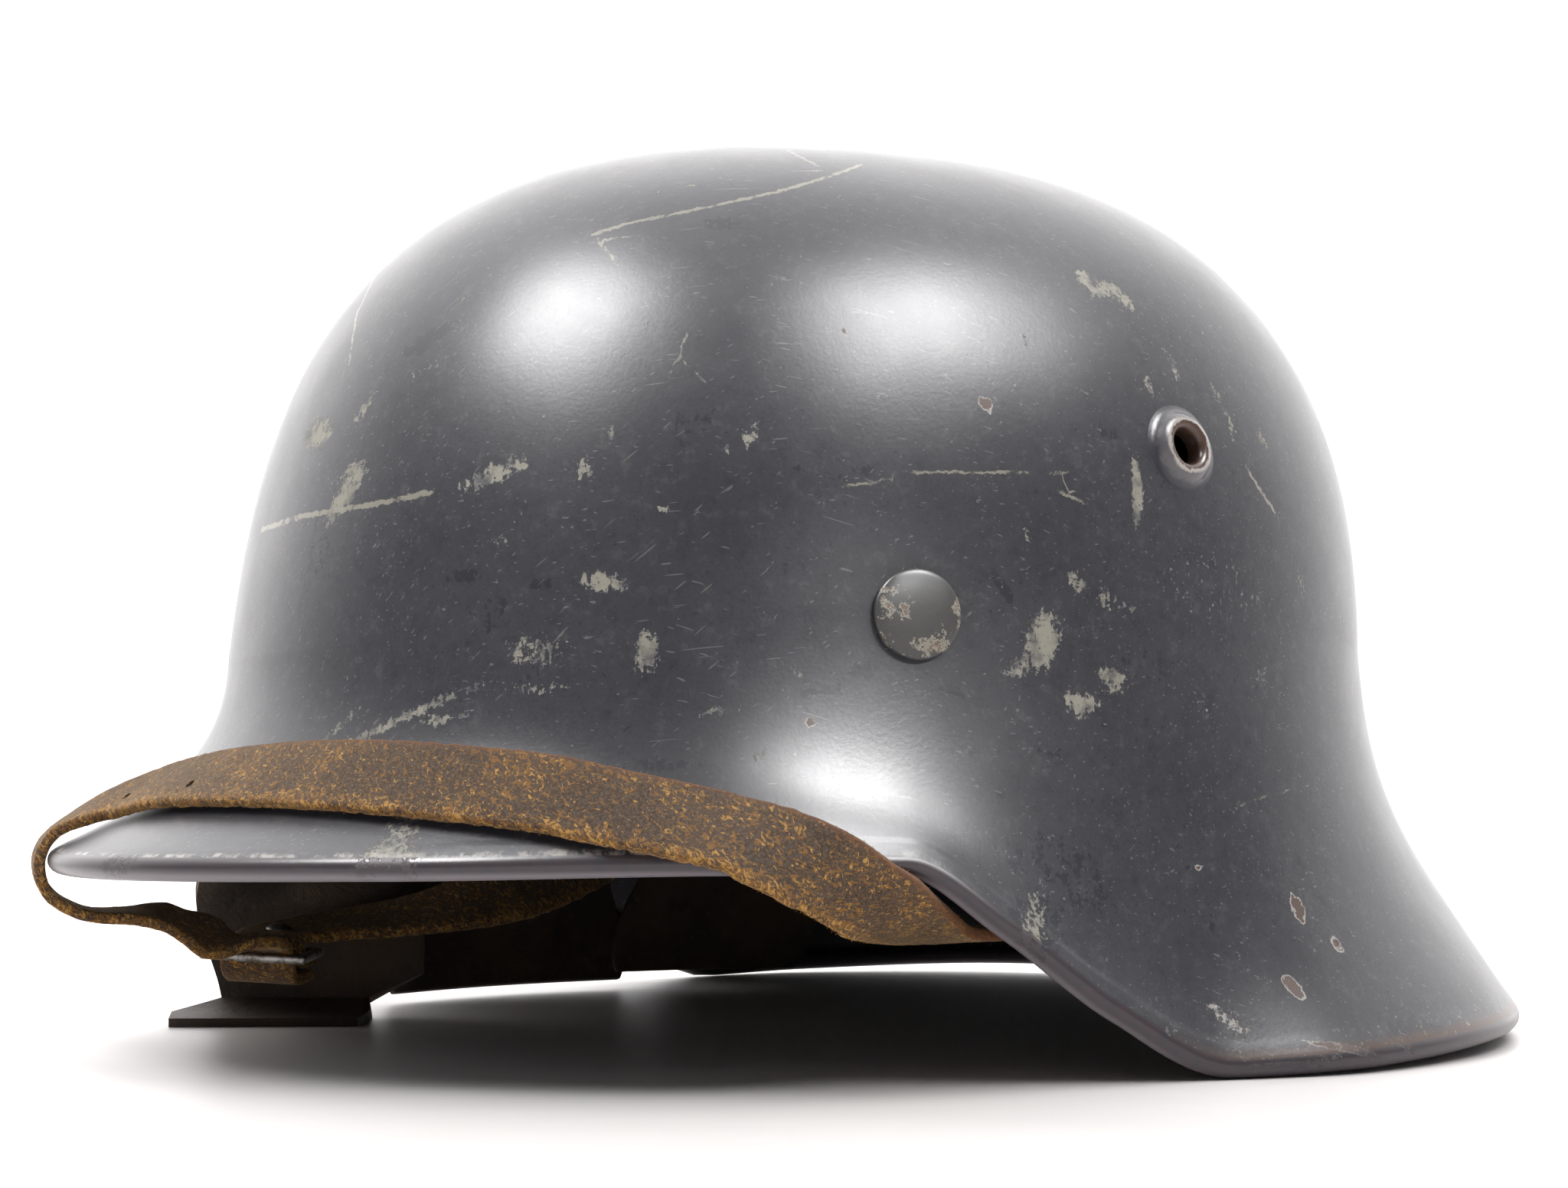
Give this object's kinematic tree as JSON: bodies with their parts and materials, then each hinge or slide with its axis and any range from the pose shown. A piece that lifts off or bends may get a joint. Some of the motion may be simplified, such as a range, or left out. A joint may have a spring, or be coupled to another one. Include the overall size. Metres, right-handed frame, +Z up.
{
  "type": "military steel helmet",
  "caption": "Steel helmet with a rolled rim, flared neck guard and short visor, raised vent holes, riveted leather liner and a buckled chin strap laid over the visor.",
  "frame": {"origin": "on the floor under the middle of the whole helmet", "axes": "+Z up, +X to the wearer's left, -Y to the front where the visor is"},
  "size_m": [0.2234, 0.2808, 0.1659],
  "materials": {
    "shell_paint": "semi-gloss dark blue-grey paint with a fine texture, scratched and chipped",
    "rivet_paint": "worn grey paint on steel",
    "liner_metal": "dull zinc-plated steel",
    "liner_leather": "old dark leather, dry and matte",
    "strap_leather": "rough brown leather with a ragged fibrous edge"
  },
  "bodies": {
    "root": {"bale_left": "liner_metal", "bale_right": "liner_metal", "buckle_frame": "liner_metal", "chin_strap": "strap_leather", "liner_band": "liner_metal", "rivet_left": "rivet_paint", "rivet_rear": "rivet_paint", "rivet_right": "rivet_paint", "shell": "shell_paint", "strap_short": "strap_leather", "sweatband": "liner_leather", "tongue_1": "liner_leather", "tongue_2": "liner_leather", "tongue_3": "liner_leather", "tongue_4": "liner_leather", "tongue_5": "liner_leather", "tongue_6": "liner_leather", "tongue_7": "liner_leather", "tongue_8": "liner_leather"}
  },
  "joints": []
}
